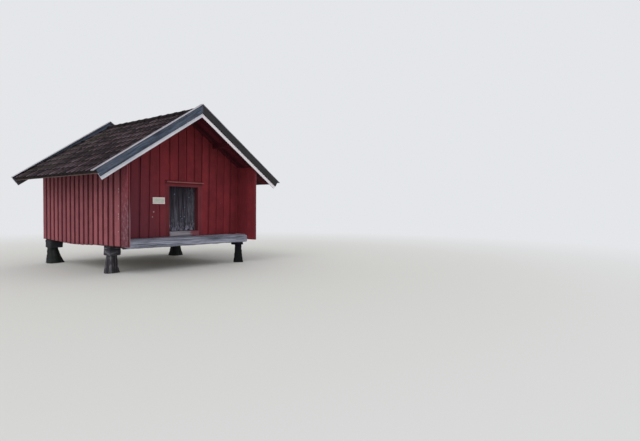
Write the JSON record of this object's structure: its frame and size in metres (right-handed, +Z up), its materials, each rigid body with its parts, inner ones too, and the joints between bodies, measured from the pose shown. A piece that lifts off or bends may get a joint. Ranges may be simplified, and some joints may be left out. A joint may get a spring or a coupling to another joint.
{
  "type": "raised granary",
  "caption": "Small log granary on flared timber posts with capped tops, red board cladding, sheltered gable porch, plank door and a tiled gable roof.",
  "frame": {"origin": "centre of the overall box at ground level, between the feet of the posts", "axes": "+X along the front from left to right, +Y from the front gable to the rear, +Z up"},
  "size_m": [5.9338, 5.018, 4.5162],
  "materials": {
    "weathered_post": "rough, weathered grey",
    "dark_post": "rough, dark and mossy",
    "hewn_log": "hewn, aged",
    "floor_board": "planed, aged",
    "grey_beam": "hewn, silver grey",
    "red_side_paint": "faded red paint",
    "red_paint": "matt red paint",
    "grey_red_paint": "worn red paint over grey wood",
    "dark_wood": "dark, weathered",
    "clay_tile": "matt, mossy",
    "white_paint": "matt white paint",
    "grey_board": "weathered blue grey",
    "sign_white": "matt",
    "grey_door": "bare, weathered grey",
    "wrought_iron": "forged, dull"
  },
  "bodies": {
    "granary": {"front_posts": "weathered_post", "rear_posts": "dark_post", "post_caps": "weathered_post", "side_sills": "hewn_log", "cross_sills": "hewn_log", "floor_joists": "hewn_log", "floor": "floor_board", "porch_beam": "grey_beam", "threshold": "grey_beam", "left_wall": "hewn_log", "right_wall": "hewn_log", "rear_wall": "hewn_log", "rear_gable": "hewn_log", "front_wall_left": "hewn_log", "front_wall_right": "hewn_log", "front_gable": "hewn_log", "cladding_left": "red_side_paint", "cladding_right": "red_side_paint", "cladding_rear": "red_side_paint", "cladding_front_left": "red_paint", "cladding_front_right": "red_paint", "cladding_front_over": "red_paint", "wing_linings": "red_paint", "corner_boards": "grey_red_paint", "ridge_purlin": "red_paint", "side_purlins": "red_paint", "roof_boards_left": "red_paint", "roof_boards_right": "red_paint", "tile_battens": "dark_wood", "tiles_left": "clay_tile", "tiles_right": "clay_tile", "ridge_tiles": "clay_tile", "eave_boards": "dark_wood", "barge_boards_white": "white_paint", "barge_boards_grey": "grey_board", "verge_caps": "grey_board", "door_casings": "red_paint", "drip_board": "red_paint", "door_linings": "red_paint", "sign_plate": "sign_white", "hinge_hooks": "wrought_iron"},
    "door": {"door_leaf": "grey_door", "door_ledges": "grey_door", "hinge_straps": "wrought_iron"}
  },
  "joints": [
    {"name": "door_hinge", "type": "hinge", "parent": "granary", "child": "door", "pos_m": [-0.477, -1.3949, 1.6], "axis": [0, 0, 1], "range_deg": [0, 100]}
  ]
}
